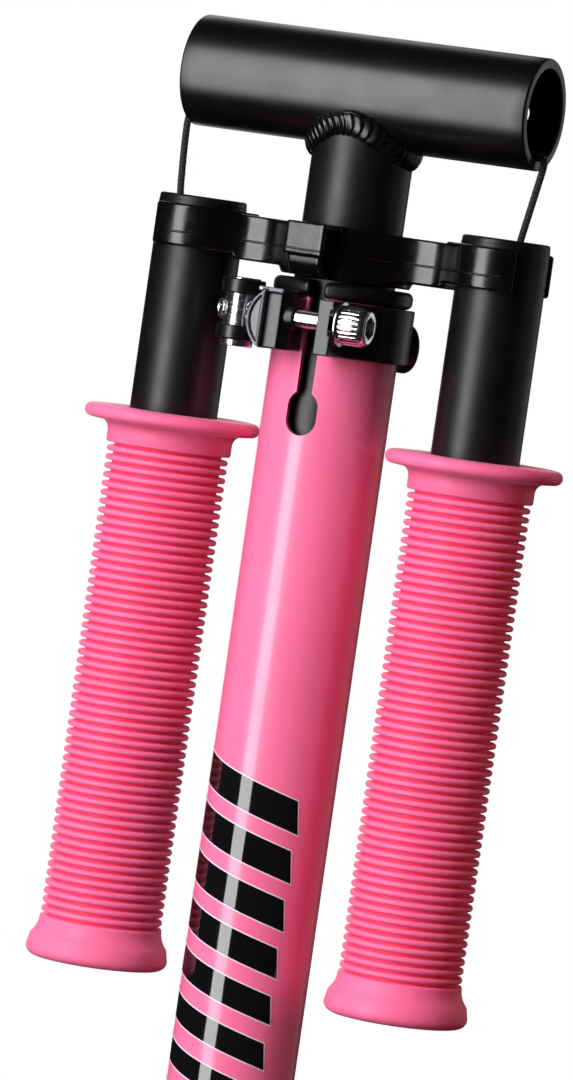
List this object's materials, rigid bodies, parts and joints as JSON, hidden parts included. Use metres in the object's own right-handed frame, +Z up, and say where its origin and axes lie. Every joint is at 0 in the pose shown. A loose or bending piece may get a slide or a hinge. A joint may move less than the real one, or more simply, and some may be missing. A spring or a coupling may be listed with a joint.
{
  "type": "folding scooter handlebar",
  "caption": "Telescoping scooter steering column with a tee, quick-release clamp, and pink ribbed handles stowed in a clip-on holder.",
  "frame": {"origin": "middle of the column's lower mouth, on its axis, where the fork's steerer goes in", "axes": "+Z up the column, +X to the rider's right handle, -Y to the front where the slot and the clamp bolt are"},
  "size_m": [0.1268, 0.0596, 0.4964],
  "materials": {
    "pink_paint": "gloss powder coat",
    "black_paint": "satin gloss powder coat",
    "black_anodised": "black anodised, lightly blasted, with grey machined ear faces",
    "black_lever": "black coated casting",
    "bright_steel": "zinc plated steel",
    "grey_acetal": "slightly translucent grey moulding",
    "black_nylon": "moulded nylon",
    "black_moulding": "glossy moulded plastic",
    "pink_rubber": "matte soft rubber with fine ribs",
    "black_elastic": "braided sleeve over elastic"
  },
  "bodies": {
    "column": {"column_tube": "pink_paint", "guide_bush": "black_nylon", "clamp_collar": "black_anodised", "clamp_bolt": "bright_steel", "bolt_washer": "bright_steel", "saddle_washer": "grey_acetal", "barrel_nut": "bright_steel", "steerer_clamp": "black_anodised", "steerer_clamp_bolts": "bright_steel"},
    "lever": {"clamp_lever": "black_lever"},
    "stem": {"stem_tube": "black_paint", "tee_bar": "black_paint", "weld_bead": "black_paint", "stem_foot_sleeve": "black_nylon", "stem_button_spring": "bright_steel", "tee_cord": "black_elastic", "left_cord_span": "black_elastic", "right_cord_span": "black_elastic"},
    "stem_catch": {"stem_button": "bright_steel"},
    "holder": {"handle_holder": "black_moulding", "left_clip_jaws": "black_moulding", "right_clip_jaws": "black_moulding"},
    "left_handle": {"left_handle_tube": "black_paint", "left_mouth_bush": "black_nylon", "left_grip": "pink_rubber", "left_grip_flange": "pink_rubber", "left_cord_tail": "black_elastic", "left_cord_washer": "bright_steel", "left_button_spring": "bright_steel"},
    "left_catch": {"left_button": "bright_steel"},
    "right_handle": {"right_handle_tube": "black_paint", "right_mouth_bush": "black_nylon", "right_grip": "pink_rubber", "right_grip_flange": "pink_rubber", "right_cord_tail": "black_elastic", "right_cord_washer": "bright_steel", "right_button_spring": "bright_steel"},
    "right_catch": {"right_button": "bright_steel"}
  },
  "joints": [
    {"name": "stem_slide", "type": "slide", "parent": "column", "child": "stem", "axis": [0, 0, 1], "range_m": [0, 0.2], "deforming": ["left_grip_flange"]},
    {"name": "lever_swing", "type": "hinge", "parent": "column", "child": "lever", "pos_m": [-0.01725, -0.022, 0.4245], "axis": [0, 0, 1], "range_deg": [0, 15]},
    {"name": "stem_button_press", "type": "slide", "parent": "stem", "child": "stem_catch", "axis": [0, 1, 0], "range_m": [0, 0.0012], "stiffness_N_per_m": 900, "springref_m": -0.004, "deforming": ["stem_button_spring"]},
    {"name": "holder_slide", "type": "slide", "parent": "stem", "child": "holder", "axis": [0, 0, 1], "range_m": [0, 0.012]},
    {"name": "left_handle_swing", "type": "hinge", "parent": "stem", "child": "left_handle", "pos_m": [-0.0298, 0, 0.471], "axis": [0, 1, 0], "range_deg": [0, 90], "deforming": ["left_cord_span", "left_clip_jaws"]},
    {"name": "left_button_press", "type": "slide", "parent": "left_handle", "child": "left_catch", "axis": [0, -1, 0], "range_m": [0, 0.003], "stiffness_N_per_m": 800, "springref_m": -0.003, "deforming": ["left_button_spring"]},
    {"name": "right_handle_swing", "type": "hinge", "parent": "stem", "child": "right_handle", "pos_m": [0.0298, 0, 0.471], "axis": [0, -1, 0], "range_deg": [0, 90], "deforming": ["right_cord_span", "right_clip_jaws"]},
    {"name": "right_button_press", "type": "slide", "parent": "right_handle", "child": "right_catch", "axis": [0, -1, 0], "range_m": [0, 0.003], "stiffness_N_per_m": 800, "springref_m": -0.003, "deforming": ["right_button_spring"]}
  ]
}
